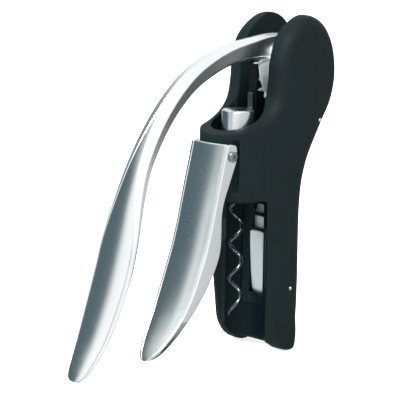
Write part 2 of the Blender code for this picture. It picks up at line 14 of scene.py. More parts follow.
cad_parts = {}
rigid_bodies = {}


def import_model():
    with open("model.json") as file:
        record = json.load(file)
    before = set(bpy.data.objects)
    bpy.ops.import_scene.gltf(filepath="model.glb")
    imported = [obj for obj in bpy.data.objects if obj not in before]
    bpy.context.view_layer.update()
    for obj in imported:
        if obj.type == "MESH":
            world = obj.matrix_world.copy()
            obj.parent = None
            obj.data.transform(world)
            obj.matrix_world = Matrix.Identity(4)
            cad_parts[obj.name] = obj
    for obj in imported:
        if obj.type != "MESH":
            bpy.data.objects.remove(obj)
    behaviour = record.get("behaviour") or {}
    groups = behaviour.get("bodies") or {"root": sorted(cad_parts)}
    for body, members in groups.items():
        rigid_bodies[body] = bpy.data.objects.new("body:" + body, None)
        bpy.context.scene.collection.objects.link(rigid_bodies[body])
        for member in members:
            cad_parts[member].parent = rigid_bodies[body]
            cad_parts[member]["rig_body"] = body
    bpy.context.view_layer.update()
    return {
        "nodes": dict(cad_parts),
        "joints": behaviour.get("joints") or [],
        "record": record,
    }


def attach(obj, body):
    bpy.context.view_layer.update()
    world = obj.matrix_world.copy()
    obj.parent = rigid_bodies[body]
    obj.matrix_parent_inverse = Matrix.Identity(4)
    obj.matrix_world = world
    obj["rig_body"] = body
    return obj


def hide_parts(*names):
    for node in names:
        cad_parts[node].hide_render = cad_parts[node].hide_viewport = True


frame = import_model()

MM = 0.001
JOINTS = {joint["name"]: joint for joint in frame["joints"]}
AXIS_Y = JOINTS["worm_spin"]["pos_m"][1]        # where the worm axis stands in the frame, metres


def joint_place(name):
    """Y and Z of a joint in design millimetres."""
    _, y, z = JOINTS[name]["pos_m"]
    return round((y - AXIS_Y) / MM, 4), round(z / MM, 4)


LEVER_PIVOT = joint_place("lever_swing")
CLAMP_PIVOT = joint_place("clamp_squeeze")
UPPER_PIN = (39.2, 119.2)       # Y, Z
LOWER_PIN = (19.6, 33.5)
PIN_RADIUS = 1.0
PIN_HOLE = 1.15
AXLE_HOLE = 3.25
AXLE_HOLE_HALF = 17.8           # half of its length across the cheeks
CLAMP_AXLE_HOLE = 1.8
FAR = 30                        # well past the surface, for the shapes that cut right through

BODY_HALF_WIDTH = 21.2
SLOT_HALF_WIDTH = 9.5
BARREL_RADIUS = 19.3
RECESS_RADIUS = 13.5
BARREL_BOTTOM = 80.5
NECK_RADIUS = 16.3
NECK_FLARE_TOP = 4.5
NUT_BLOCK_TOP = 86.0
EDGE_ROUND = (8.0, 8.0)         # along X, and inwards in the side view
FRONT_ROUND = (8.0, 2.0)
SKIN_MARGIN = 0.08              # keeps the fine body inside the frame's coarser one

WORM_PITCH = 18.3
WORM_TIP_Z = 18.4
WORM_TOP_Z = 84.0
WORM_TOP_ANGLE = math.radians(44)
WORM_COIL_RADIUS = 2.85
WORM_WIRE = 1.0
SHANK_RADIUS = 1.6
SHANK_TOP_Z = 99.6

CAP_RADIUS = 8.3
CAP_WALL = 1.3
CAP_LOW_Z = 96.2
CAP_TOP_Z = 126.0


# Mesh helpers

def place(point):
    """Design millimetres to metres in the frame."""
    return Vector(point) * MM + Vector((0, AXIS_Y, 0))


def new_piece(name, points, faces):
    """Object from design points, its faces turned outwards."""
    mesh = bpy.data.meshes.new(name)
    mesh.from_pydata([place(p) for p in points], [], faces)
    shape = bmesh.new()
    shape.from_mesh(mesh)
    bmesh.ops.recalc_face_normals(shape, faces=shape.faces)
    shape.to_mesh(mesh)
    shape.free()
    made = bpy.data.objects.new(name, mesh)
    bpy.context.scene.collection.objects.link(made)
    return made


def loft(name, rings):
    """Closed solid through rings of equal length, with flat ends."""
    count = len(rings[0])
    points = [p for ring in rings for p in ring]
    faces = [tuple(reversed(range(count)))]
    for k in range(len(rings) - 1):
        for i in range(count):
            j = (i + 1) % count
            low, high = k * count, (k + 1) * count
            faces.append((low + i, low + j, high + j, high + i))
    last = (len(rings) - 1) * count
    faces.append(tuple(range(last, last + count)))
    return new_piece(name, points, faces)


def side_plate(name, outline, x_low, x_high):
    """Plate with a side outline of (Y, Z) points."""
    return loft(name, [[(x, y, z) for y, z in outline] for x in (x_low, x_high)])


def plan_plate(name, outline, z_low, z_high):
    """Plate with a plan outline of (X, Y) points."""
    return loft(name, [[(x, y, z) for x, y in outline] for z in (z_low, z_high)])


def turned(name, profile, steps=96, is_ring=False, axis="Z", centre=(0, 0, 0)):
    """Solid of revolution from (radius, height) points about Z, laid along an axis."""
    points, rings = [], []
    for radius, height in profile:
        first = len(points)
        around = 1 if radius < 1e-6 else steps
        for i in range(around):
            angle = 2 * math.pi * i / steps
            across, up = radius * math.cos(angle), radius * math.sin(angle)
            spot = {"Z": (across, up, height), "X": (height, up, -across),
                    "Y": (across, height, -up)}[axis]
            points.append(tuple(Vector(spot) + Vector(centre)))
        rings.append([first + i % around for i in range(steps)])
    pairs = list(zip(rings, rings[1:]))
    if is_ring:
        pairs.append((rings[-1], rings[0]))
    faces = []
    for low, high in pairs:
        for i in range(steps):
            j = (i + 1) % steps
            faces.append(tuple(dict.fromkeys([low[i], low[j], high[j], high[i]])))
    return new_piece(name, points, faces)


def rod(name, radius, low, high, centre, axis="X", round_end=0.0, steps=48):
    """Round bar between two heights, its rims rounded."""
    if not round_end:
        profile = [(0, low), (radius, low), (radius, high), (0, high)]
        return turned(name, profile, steps, axis=axis, centre=centre)
    turns = [math.pi / 2 * i / 4 for i in range(5)]
    rim = [(radius - round_end * (1 - math.sin(t)), low + round_end * (1 - math.cos(t)))
           for t in turns]
    upper_rim = [(r, high - (z - low)) for r, z in reversed(rim)]
    profile = [(0, low)] + rim + upper_rim + [(0, high)]
    return turned(name, profile, steps, axis=axis, centre=centre)


def arc(centre, radius, start, end, steps):
    """Points round a circle, with the angles in degrees."""
    angles = [math.radians(start + (end - start) * i / steps) for i in range(steps + 1)]
    return [(centre[0] + radius * math.cos(a), centre[1] + radius * math.sin(a)) for a in angles]


def curve_through(points, steps):
    """Catmull-Rom curve through the points, both ends kept."""
    ends = [points[0], *points, points[-1]]
    made = []
    for a, b, c, d in zip(ends, ends[1:], ends[2:], ends[3:]):
        for i in range(steps):
            t = i / steps
            made.append(tuple(
                0.5 * (2 * q + (r - p) * t + (2 * p - 5 * q + 4 * r - s) * t ** 2
                       + (3 * q - p - 3 * r + s) * t ** 3)
                for p, q, r, s in zip(a, b, c, d)))
    made.append(tuple(points[-1]))
    return made


def inset(outline, distances):
    """Moves each point of a closed outline inwards by its own distance."""
    moved = []
    for i, here in enumerate(outline):
        before, after = Vector(outline[i - 1]), Vector(outline[(i + 1) % len(outline)])
        first = (Vector(here) - before).normalized()
        second = (after - Vector(here)).normalized()
        normal = Vector((-first.y - second.y, first.x + second.x)).normalized()
        moved.append(tuple(Vector(here) + normal * distances[i]))
    return moved


def bake(piece):
    """Applies the modifiers and removes the shapes that they cut with."""
    tools = [step.object for step in piece.modifiers if step.type == "BOOLEAN"]
    graph = bpy.context.evaluated_depsgraph_get()
    mesh = bpy.data.meshes.new_from_object(piece.evaluated_get(graph))
    piece.modifiers.clear()
    piece.data = mesh
    for tool in tools:
        bpy.data.objects.remove(tool)


def combine(piece, operation, tools):
    """Boolean with each tool in turn. The tools are used up."""
    for tool in tools:
        step = piece.modifiers.new(operation.lower(), "BOOLEAN")
        step.operation = operation
        step.object = tool
        step.solver = "MANIFOLD"
    bake(piece)


def soften(piece, voxel, rounds):
    """Even fine mesh whose edges are rounded by smoothing."""
    grid = piece.modifiers.new("grid", "REMESH")
    grid.mode = "VOXEL"
    grid.voxel_size = voxel * MM
    grid.adaptivity = 0.0
    calm = piece.modifiers.new("calm", "SMOOTH")
    calm.factor = 0.5
    calm.iterations = rounds
    bake(piece)


def bevel(piece, width, segments=3):
    """Rounds the sharp edges with a modifier, which leaves the mesh itself as it is."""
    step = piece.modifiers.new("edges", "BEVEL")
    step.width = width * MM
    step.segments = segments
    step.limit_method = "ANGLE"
    step.angle_limit = math.radians(40)
    step.harden_normals = False


def shade(piece, angle):
    piece.data.shade_smooth()
    piece.data.set_sharp_from_angle(angle=math.radians(angle))


# Materials

def grain_nodes(tree, scale, stretch, detail):
    """Noise in object space, which stays with the piece as it moves."""
    where = tree.nodes.new("ShaderNodeTexCoord")
    mapping = tree.nodes.new("ShaderNodeMapping")
    mapping.inputs["Scale"].default_value = stretch
    noise = tree.nodes.new("ShaderNodeTexNoise")
    noise.inputs["Scale"].default_value = scale
    noise.inputs["Detail"].default_value = detail
    tree.links.new(where.outputs["Object"], mapping.inputs["Vector"])
    tree.links.new(mapping.outputs["Vector"], noise.inputs["Vector"])
    return noise


def vary(tree, source, low, high, target):
    """Spreads the middle of a noise over a range of values."""
    ramp = tree.nodes.new("ShaderNodeMapRange")
    ramp.inputs["From Min"].default_value = 0.3
    ramp.inputs["From Max"].default_value = 0.7
    ramp.inputs["To Min"].default_value = low
    ramp.inputs["To Max"].default_value = high
    tree.links.new(source.outputs["Fac"], ramp.inputs["Value"])
    tree.links.new(ramp.outputs["Result"], target)


def material(name, colour, roughness, metallic=0.0, specular=0.5, grain=1500, stretch=(1, 1, 1),
             bump=0.1, bump_depth=0.02, colour_swing=0.06, roughness_swing=0.05, cloud=60,
             sheen=(1, 1, 1)):
    """Principled surface with fine grain, slow colour change and uneven gloss."""
    made = bpy.data.materials.new(name)
    made.use_nodes = True
    tree = made.node_tree
    shader = tree.nodes["Principled BSDF"]
    shader.inputs["Metallic"].default_value = metallic
    shader.inputs["Specular IOR Level"].default_value = specular
    shader.inputs["Specular Tint"].default_value = (*sheen, 1)
    fine = grain_nodes(tree, grain, stretch, 2.0)
    slow = grain_nodes(tree, cloud, (1, 1, 1), 3.0)
    mix = tree.nodes.new("ShaderNodeValToRGB")
    darker = [c * (1 - colour_swing) for c in colour]
    lighter = [min(1.0, c * (1 + colour_swing)) for c in colour]
    mix.color_ramp.elements[0].position = 0.35
    mix.color_ramp.elements[0].color = (*darker, 1)
    mix.color_ramp.elements[1].position = 0.65
    mix.color_ramp.elements[1].color = (*lighter, 1)
    tree.links.new(slow.outputs["Fac"], mix.inputs["Fac"])
    tree.links.new(mix.outputs["Color"], shader.inputs["Base Color"])
    vary(tree, fine, roughness - roughness_swing, roughness + roughness_swing,
         shader.inputs["Roughness"])
    relief = tree.nodes.new("ShaderNodeBump")
    relief.inputs["Strength"].default_value = bump
    relief.inputs["Distance"].default_value = bump_depth * MM
    tree.links.new(fine.outputs["Fac"], relief.inputs["Height"])
    tree.links.new(relief.outputs["Normal"], shader.inputs["Normal"])
    return made


BRUSHED = (1, 1, 0.04)          # noise scale that draws the grain out along Z
COOL_SHEEN = (0.62, 0.94, 1.0)


def make_materials():
    return {
        "soft_black": material("soft_black", (0.0050, 0.0124, 0.0138), 0.60, specular=0.14,
                               grain=3800, bump=0.35, bump_depth=0.03, cloud=35),
        "inner_black": material("inner_black", (0.002, 0.0055, 0.0062), 0.34, specular=0.22,
                                grain=1800, bump=0.10, cloud=50, sheen=COOL_SHEEN),
        # bare_black goes on the bottle cavity's faces: its gloss is the plastic's own, its extra
        # darkness is painted shade
        "bare_black": material("bare_black", (0.0012, 0.0042, 0.0052), 0.42, specular=0.15,
                               grain=1800, bump=0.10, cloud=50, sheen=COOL_SHEEN),
        "satin_metal": material("satin_metal", (0.87, 0.90, 0.91), 0.25, metallic=1.0,
                                grain=5200, bump=0.12, bump_depth=0.006, colour_swing=0.02,
                                roughness_swing=0.03, cloud=25),
        "chrome": material("chrome", (0.72, 0.76, 0.775), 0.24, metallic=1.0, grain=2600,
                           bump=0.04, bump_depth=0.003, colour_swing=0.015,
                           roughness_swing=0.02, cloud=30),
        "steel": material("steel", (0.74, 0.77, 0.78), 0.34, metallic=1.0, grain=2600,
                          stretch=BRUSHED, bump=0.20, bump_depth=0.006, colour_swing=0.05),
        "dark_steel": material("dark_steel", (0.003, 0.0045, 0.005), 0.55, specular=0.12,
                               grain=2200, bump=0.15, bump_depth=0.01),
        "screw_grey": material("screw_grey", (0.26, 0.29, 0.30), 0.42, metallic=0.8, grain=2600,
                               bump_depth=0.004, colour_swing=0.05),
        "black_chrome": material("black_chrome", (0.38, 0.41, 0.42), 0.16, metallic=1.0,
                                 grain=2600, bump_depth=0.004, colour_swing=0.05),
        "zinc": material("zinc", (0.39, 0.445, 0.45), 0.45, metallic=0.25, grain=2600,
                         stretch=BRUSHED, bump=0.15, bump_depth=0.006),
        "bright_zinc": material("bright_zinc", (0.74, 0.82, 0.83), 0.45, metallic=0.1,
                                grain=2600, stretch=BRUSHED, bump=0.15, bump_depth=0.006),
        "coated_worm": material("coated_worm", (0.150, 0.170, 0.176), 0.18, metallic=1.0,
                                grain=2600, bump=0.08, bump_depth=0.006, roughness_swing=0.04),
        "rubber": material("rubber", (0.012, 0.013, 0.014), 0.78, specular=0.3, grain=2400,
                           bump=0.4, bump_depth=0.04, sheen=COOL_SHEEN),
        "brass": material("brass", (0.60, 0.43, 0.18), 0.30, metallic=1.0, grain=2200,
                          stretch=BRUSHED, bump=0.12, bump_depth=0.006),
    }


FINISH = make_materials()


def settle(piece, node, slot, angle=35, look=None):
    """Gives a piece its finish, puts it in the place of a CAD node and lets it ride along."""
    piece.data.materials.clear()
    piece.data.materials.append(FINISH[look or slot])
    shade(piece, angle)
    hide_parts(node)
    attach(piece, frame["nodes"][node]["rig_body"])


# Body

FOOT_HEEL = (24.2, 0.0)
BARREL_FACE = -22.0             # how far the side outline reaches past the round front
BARREL_TOP = 114.0
BACK_LINE = [(26.0, 2.4), (28.4, 12), (29.4, 35), (29.5, 76), (33.2, 96.4), (43.2, 114.7),
             (51.2, 128), (54.3, 142), (52.0, 157), (45.0, 168.2), (35.0, 172.9), (25.2, 170.3),
             (15.5, 162.0), (11.6, 150), (10.7, 140), (8.8, 131), (4.0, 124.9), (-3.6, 120.3),
             (-12.0, 117.3)]
FRONT_LINE = [(1.2, BARREL_BOTTOM), (1.8, 65), (2.4, 50), (3.2, 35), (4.6, 25), (6.3, 13),
              (9.2, 7.0), (12.5, 3.3), (16.0, 1.2), (20.0, 0.0)]


def body_outline():
    """Side outline of the body and how far the edge is rounded at each of its points."""
    back = curve_through(BACK_LINE, 10)
    front = curve_through(FRONT_LINE, 8)
    barrel = [(BARREL_FACE, BARREL_TOP), (BARREL_FACE, BARREL_BOTTOM)]
    outline = back + barrel + front + [FOOT_HEEL]
    rounds = []
    for y, z in outline:
        share = min(1.0, 0.4 + z / 28)      # sharper towards the foot
        along, drop = FRONT_ROUND if (y, z) in front else EDGE_ROUND
        rounds.append((along * share, max(drop * share, FRONT_ROUND[1])))
    return outline, rounds


def pillow_plate(name, outline, rounds, half_width, steps):
    """Plate across X whose rims are rounded by a different amount at each point."""
    rings = []
    for i in range(steps + 1):
        turn = math.pi / 2 * i / steps
        moved = inset(outline, [drop * (1 - math.sin(turn)) + SKIN_MARGIN for _, drop in rounds])
        rings.append([(edge * (1 - math.cos(turn)) - half_width, y, z)
                      for (y, z), (edge, _) in zip(moved, rounds)])
    mirrored = [[(-x, y, z) for x, y, z in section] for section in reversed(rings)]
    return loft(name, rings + mirrored)


def body_plan():
    """Plan outline: round front, and flanks that draw in towards the back."""
    front = arc((0, 0), BARREL_RADIUS, 180, 360, 90)
    wide = BODY_HALF_WIDTH + 1.0
    flank = [(wide, 11.0), (wide, 26.0), (18.8, 58.0)]
    return front + flank + [(-x, y) for x, y in reversed(flank)]


def u_shape(radius, front):
    """Plan outline, round at the back and open at the front."""
    return [(-radius, front), (radius, front)] + arc((0, 0), radius, 0, 180, 72)


def ring_sector(inner, outer, half_angle, steps=48):
    """Plan outline of a piece of a ring, at the back of the worm axis."""
    outside = arc((0, 0), outer, 90 - half_angle, 90 + half_angle, steps)
    inside = arc((0, 0), inner, 90 + half_angle, 90 - half_angle, steps)
    return outside + inside


def neck_room():
    """Bottle cavity, flared at the foot."""
    widths = [(NECK_RADIUS + 3.6, -6), (NECK_RADIUS + 3.4, 0), (NECK_RADIUS + 1.2, 1.9),
              (NECK_RADIUS, 4.2), (NECK_RADIUS, BARREL_BOTTOM)]
    return loft("cut_neck", [[(x, y, z) for x, y in u_shape(r, -FAR)] for r, z in widths])


COARSE_VOXEL = 0.6
FINE_VOXEL = 0.38
SPRING_ROOM = 3.1
SPRING_HALF = 4.4
BOSS_HALF = 13
ARCH_HALF = 12.6
FLANGE_ROOM = (11.4, 13.7)      # X from and to, for the sides of the clamp handle
LINER_ROOM = (14.0, 18.7, 32)   # inner and outer radius, half angle in degrees
LINER_ROOM_LOW = 21.7
STRIP_ROOM_HALF = 5.4
STRIP_ROOM_LOW = 24.5


def soft_body():
    """Body with its broad round edges and the U between the cheeks."""
    body = pillow_plate("body_skin", *body_outline(), BODY_HALF_WIDTH - SKIN_MARGIN, 14)
    combine(body, "INTERSECT", [plan_plate("cut_plan", body_plan(), -5, 180)])
    gap = [(-26, 118.6), (41.8, 118.6), (45.5, 123.3), (48.9, 130.5), (50.9, 137), (60, 137),
           (60, 182), (-26, 182)]
    combine(body, "DIFFERENCE", [side_plate("cut_gap", gap, -SLOT_HALF_WIDTH, SLOT_HALF_WIDTH)])
    soften(body, COARSE_VOXEL, 8)
    return body


def crisp_cuts():
    """Rooms and holes whose edges stay sharper than the body's own."""
    frame_room = [(5, 86.2), (25.6, 86.2), (28.2, 96.5), (33.8, 107.5), (39.7, 115.3),
                  (43.4, 120.5), (5, 120.5)]
    flange_room = [(-26, 86), (-13.6, 86), (-12.2, 96), (-12.2, 112.5), (-26, 112.5)]
    flare = [(-16.6, 7.6), (-20.9, -1), (-20.9, -FAR), (20.9, -FAR), (20.9, -1), (16.6, 7.6)]
    arch = [(8, -5), (8, 4.6), (16.6, 3.4), (21, 1.5), (36, 0.4), (36, -5)]
    spring_mouth = [(-30, 102.2), (-17.2, 102.2), (-17.2, 108), (-30, 108)]
    half = STRIP_ROOM_HALF
    strip_room = [(-half, 15), (half, 15), (half, 22), (-half, 22)]
    near, far = FLANGE_ROOM
    return [
        side_plate("cut_frame_room", frame_room, -SLOT_HALF_WIDTH, SLOT_HALF_WIDTH),
        rod("cut_recess", RECESS_RADIUS, 78, 136, (0, 0, 0), "Z", steps=96),
        neck_room(),
        plan_plate("cut_flare", flare, -6, BARREL_BOTTOM - 0.06),
        side_plate("cut_arch", arch, -ARCH_HALF, ARCH_HALF),
        plan_plate("cut_liner", ring_sector(*LINER_ROOM), LINER_ROOM_LOW, BARREL_BOTTOM - 0.02),
        plan_plate("cut_strip", strip_room, STRIP_ROOM_LOW, BARREL_BOTTOM - 0.04),
        side_plate("cut_flange_right", flange_room, near, far),
        side_plate("cut_flange_left", flange_room, -far, -near),
        rod("cut_axle", AXLE_HOLE, -AXLE_HOLE_HALF, AXLE_HOLE_HALF, (0, *LEVER_PIVOT)),
        rod("cut_upper_pin", PIN_HOLE, -FAR, FAR, (0, *UPPER_PIN)),
        rod("cut_lower_pin", PIN_HOLE, -FAR, FAR, (0, *LOWER_PIN)),
        rod("cut_clamp_axle", CLAMP_AXLE_HOLE, -14, 14, (0, *CLAMP_PIVOT)),
        rod("cut_spring", SPRING_ROOM, -SPRING_HALF, SPRING_HALF, (0, *CLAMP_PIVOT)),
        side_plate("cut_spring_mouth", spring_mouth, -SPRING_HALF, SPRING_HALF),
    ]


def darken_neck_room(body):
    """Second, darker and glossier material on the faces inside the bottle cavity: the gloss stands
    for the plastic there, the extra darkness is painted shade in the cavity.
    """
    body.data.materials.append(FINISH["bare_black"])
    # faces inside the cavity get the darker material, which paints shade into the cavity
    for face in body.data.polygons:
        x, y, z = (face.center - place((0, 0, 0))) / MM
        reach = math.hypot(x, y) if y > 0 else abs(x)
        if reach < NECK_RADIUS + 0.35 and NECK_FLARE_TOP < z < BARREL_BOTTOM + 1:
            face.material_index = 1


def make_body():
    """Soft outer shape, the clamp's boss, then everything cut into it."""
    body = soft_body()
    boss = [(-19.0, 98.6), (-10, 98.6), (-10, 110), (-18.4, 110)]
    combine(body, "UNION", [side_plate("add_boss", boss, -BOSS_HALF, BOSS_HALF)])
    combine(body, "DIFFERENCE", crisp_cuts())
    soften(body, FINE_VOXEL, 3)
    settle(body, "housing", "soft_black", 60)
    darken_neck_room(body)


LINER_RADIUS = 18.4
LINER_LOW = 22.0
WINDOW_RIGHT = 4.85
WINDOWS = [(-3.5, 70.6, 75.4), (-3.8, 62.6, 69.0), (-4.85, 28.0, 60.6)]    # left, low, high


def make_liner():
    """Panel at the back of the cavity, with its windows."""
    outline = ring_sector(NECK_RADIUS, LINER_RADIUS, 31)
    liner = plan_plate("liner_skin", outline, LINER_LOW, BARREL_BOTTOM - 0.4)
    cuts = []
    for left, low, high in WINDOWS:
        window = [(left, 10), (WINDOW_RIGHT, 10), (WINDOW_RIGHT, 25), (left, 25)]
        cuts.append(plan_plate(f"cut_window_{int(low)}", window, low, high))
    combine(liner, "DIFFERENCE", cuts)
    bevel(liner, 0.12, 2)
    settle(liner, "neck_liner", "inner_black")


STRIP_HALF_WIDTH = 4.7
STRIP_FOLD = 3.9
STRIP_LIFT = 0.4
STRIP_THICK = 0.75
STRIP_LINE = [(20.4, 77.0), (19.9, 72.0), (18.6, 69.0), (18.5, 62.4), (17.6, 61.4), (15.6, 60.7),
              (15.4, 58), (15.5, 52), (16.0, 44), (16.7, 36), (17.6, 30), (19.6, 26.8)]


def make_strip():
    """Sprung steel strip with a shallow fold along each side."""
    half, fold = STRIP_HALF_WIDTH, STRIP_FOLD
    rings = []
    for y, z in curve_through(STRIP_LINE, 8):
        edge = y + STRIP_LIFT
        front = [(-half, edge, z), (-fold, y, z), (fold, y, z), (half, edge, z)]
        back = [(x, y_front + STRIP_THICK, z) for x, y_front, z in reversed(front)]
        rings.append(front + back)
    strip = loft("strip_skin", rings)
    bevel(strip, 0.12, 2)
    settle(strip, "spring_strip", "steel", 25, "zinc")


def make_nut_block():
    """Ring that closes the barrel from below."""
    inside, outside, low = 7.3, RECESS_RADIUS - 0.3, BARREL_BOTTOM + 0.3
    profile = [(inside, low), (outside, low), (outside, NUT_BLOCK_TOP), (inside, NUT_BLOCK_TOP)]
    block = turned("nut_block_skin", profile, 96, is_ring=True)
    bevel(block, 0.4)
    settle(block, "nut_block", "inner_black")


def make_cross_pins():
    """Pins across the body, whose ends show on its sides."""
    half = BODY_HALF_WIDTH - SKIN_MARGIN
    for node, centre in (("upper_cross_pin", UPPER_PIN), ("lower_cross_pin", LOWER_PIN)):
        pin = rod(f"{node}_skin", PIN_RADIUS, -half, half, (0, *centre), round_end=0.3)
        settle(pin, node, "steel")


def star_outline(inner, outer, lobes=6, steps=72):
    """Lobed socket of a screw head."""
    points = []
    for i in range(steps):
        angle = 2 * math.pi * i / steps
        radius = (inner + outer) / 2 + (outer - inner) / 2 * math.cos(lobes * angle)
        points.append((radius * math.cos(angle), radius * math.sin(angle)))
    return points


SCREW_PROFILE = [(0, 11.7), (1.45, 11.7), (1.45, 13.5), (2.7, 13.5), (2.7, 14.1),
                 (2.55, 14.35), (2.2, 14.55), (0, 14.6)]       # radius, distance from the middle
SOCKET_REACH = (13.7, 15.5)


def make_clamp_screws():
    """Screw heads on the boss, one on each side, each with a lobed socket."""
    y, z = CLAMP_PIVOT
    star = star_outline(0.8, 1.65)
    for name, side in (("right", 1), ("left", -1)):
        profile = [(radius, side * x) for radius, x in SCREW_PROFILE]
        screw = turned(f"clamp_screw_{name}_skin", profile, 64, axis="X", centre=(0, y, z))
        rings = [[(side * x, y + a, z + b) for a, b in star] for x in SOCKET_REACH]
        combine(screw, "DIFFERENCE", [loft("cut_star", rings)])
        settle(screw, f"clamp_screw_{name}", "steel", look="screw_grey")


# Lever

LEVER_LINE = [  # outer face Y, Z, half width, depth, crown, crease share, side height
    (36.0, 161.5, 5.5, 12.0, 0.8, 0.06, 11.0), (22.0, 162.2, 5.6, 11.6, 0.9, 0.06, 10.6),
    (5.5, 160.2, 5.8, 9.0, 1.0, 0.06, 8.3), (-10.2, 157.1, 6.1, 7.6, 1.2, 0.06, 7.0),
    (-24.0, 152.1, 6.1, 7.2, 1.3, 0.06, 6.5), (-37.2, 144.7, 6.1, 6.8, 1.4, 0.06, 6.0),
    (-49.7, 133.4, 6.2, 6.2, 1.6, 0.08, 5.4), (-60.3, 120.1, 6.6, 5.6, 1.9, 0.25, 4.9),
    (-69.3, 104.5, 7.6, 4.8, 2.3, 0.46, 4.0), (-75.2, 88.7, 9.6, 4.0, 2.8, 0.68, 3.0),
    (-80.5, 70.3, 12.4, 3.2, 3.4, 0.84, 1.8), (-84.8, 55.0, 13.1, 2.8, 3.7, 0.86, 1.2),
    (-90.3, 40.0, 12.8, 2.6, 3.6, 0.85, 0.8), (-97.6, 23.5, 11.2, 2.3, 3.2, 0.86, 0.8),
    (-104.2, 12.7, 8.9, 2.0, 2.4, 0.87, 0.7), (-108.2, 6.9, 6.4, 1.6, 1.5, 0.87, 0.6),
    (-109.8, 4.5, 2.6, 1.0, 0.5, 0.86, 0.4)]
SIDE_LEAN = 0.20                # how far the sides draw in towards the underside
CREASE_WIDTH = 0.8
CREASE_DEPTH = 0.38
BAND_RISE = 0.97                # the band beside the crease lies a little lower than the face
EDGE_SIZE = 0.35                # of the small edges along the sides
DEPTH_SPREAD = 1.1              # underside, as a share of the depth in LEVER_LINE
HUB_RADIUS = 13.0
HUB_HALF_WIDTH = 8.1
FORK_RADIUS = 14.3
FORK_HALF_WIDTH = 2.9
LEVER_BORE = 3.3


def crowned_half(wide, crown, share):
    """Outer face from its middle to its edge: crown, fine crease line and the band beside it."""
    crease = max(wide * share, CREASE_WIDTH)
    at_crease = crown * (1 - (crease / wide) ** 2)
    points = []
    for i in range(10):
        x = (crease - CREASE_WIDTH / 2) * i / 9
        points.append((x, crown - (crown - at_crease) * (x / crease) ** 2))
    points.append((crease, at_crease - CREASE_DEPTH))
    beside = crease + CREASE_WIDTH / 2
    for i in range(3):
        t = i / 3
        points.append((beside + (wide - beside) * t, at_crease * (1 - t) * BAND_RISE))
    return points


def lever_section(wide, depth, crown, share, side):
    """Closed section as (across, outward) points."""
    half = crowned_half(wide, crown, share)
    edge = min(EDGE_SIZE, side * 0.4)
    half += [(wide - edge * 0.3, edge * 0.1), (wide, -edge)]
    low = wide - SIDE_LEAN * side
    half += [(low + 0.1, -side + edge), (low - edge, -side - edge * 0.4)]
    under = depth * DEPTH_SPREAD
    half += [(wide * 0.6, -side - (under - side) * 0.75), (0.0, -under)]
    return half + [(-x, h) for x, h in reversed(half[1:-1])]


def make_lever():
    """Sections along the outer face, then the hub with its bore and fork."""
    rings = []
    line = curve_through(LEVER_LINE, 10)
    for i, (y, z, wide, depth, crown, share, side) in enumerate(line):
        before, after = line[max(i - 1, 0)], line[min(i + 1, len(line) - 1)]
        along = Vector((0, after[0] - before[0], after[1] - before[1])).normalized()
        out = Vector((0, along.z, -along.y))
        if out.z - out.y < 0:
            out = -out
        section = lever_section(wide, depth, crown, share, side)
        rings.append([Vector((x, y, z)) + out * h for x, h in section])
    lever = loft("lever_skin", rings)
    centre = (0, *LEVER_PIVOT)
    hub = rod("add_hub", HUB_RADIUS, -HUB_HALF_WIDTH, HUB_HALF_WIDTH, centre, round_end=1.0,
              steps=96)
    combine(lever, "UNION", [hub])
    combine(lever, "DIFFERENCE", [
        rod("cut_bore", LEVER_BORE, -12, 12, centre),
        rod("cut_fork", FORK_RADIUS, -FORK_HALF_WIDTH, FORK_HALF_WIDTH, centre, steps=96)])
    settle(lever, "lever", "satin_metal", 24)


# Carriage and worm

def make_cap():
    """Open cup, upside down, with a rounded top rim."""
    wide, top = CAP_RADIUS, CAP_TOP_Z
    inside, ceiling = wide - CAP_WALL, top - 2.0
    profile = [(0, ceiling), (inside, ceiling), (inside, CAP_LOW_Z), (wide - 0.05, CAP_LOW_Z),
               (wide - 0.02, top - 0.9), (wide - 0.12, top - 0.7), (wide - 0.7, top - 0.1),
               (wide - 0.95, top), (0, top)]
    cap = turned("chrome_cap_skin", profile, 128)
    settle(cap, "chrome_cap", "chrome", 30)


RUN_IN_HEIGHT = 6.0             # over which the coil closes up into the shank


def worm_path():
    """Centre line of the worm and its wire radius at each point, from the tip up."""
    turns = (WORM_TOP_Z - WORM_TIP_Z) / WORM_PITCH
    count = int(turns * 48)
    path, wires = [], []
    for i in range(count + 1):
        t = i / count
        angle = 2 * math.pi * turns * (t - 1) + WORM_TOP_ANGLE
        path.append(Vector((WORM_COIL_RADIUS * math.cos(angle), WORM_COIL_RADIUS * math.sin(angle),
                            WORM_TIP_Z + t * (WORM_TOP_Z - WORM_TIP_Z))))
        wires.append(WORM_WIRE * min(1.0, 0.06 + 12 * t))
    for i in range(1, 12):
        t = i / 12
        shrink = WORM_COIL_RADIUS * (1 - t) ** 2
        angle = WORM_TOP_ANGLE + t * 1.2
        height = WORM_TOP_Z + RUN_IN_HEIGHT * t
        path.append(Vector((shrink * math.cos(angle), shrink * math.sin(angle), height)))
        wires.append(WORM_WIRE + (SHANK_RADIUS - WORM_WIRE) * t)
    path += [Vector((0, 0, WORM_TOP_Z + RUN_IN_HEIGHT + 0.6)), Vector((0, 0, SHANK_TOP_Z))]
    wires += [SHANK_RADIUS] * 2
    return path, wires


def make_worm():
    """Right-handed coil from its point up to a straight shank."""
    path, wires = worm_path()
    sides = 20
    rings = []
    side = None
    for i, here in enumerate(path):
        along = (path[min(i + 1, len(path) - 1)] - path[max(i - 1, 0)]).normalized()
        side = side or along.orthogonal()
        side = (side - along * side.dot(along)).normalized()
        other = along.cross(side)
        angles = [2 * math.pi * k / sides for k in range(sides)]
        rings.append([here + (side * math.cos(a) + other * math.sin(a)) * wires[i] for a in angles])
    settle(loft("worm_skin", rings), "worm", "coated_worm", 60)


# Clamp handle

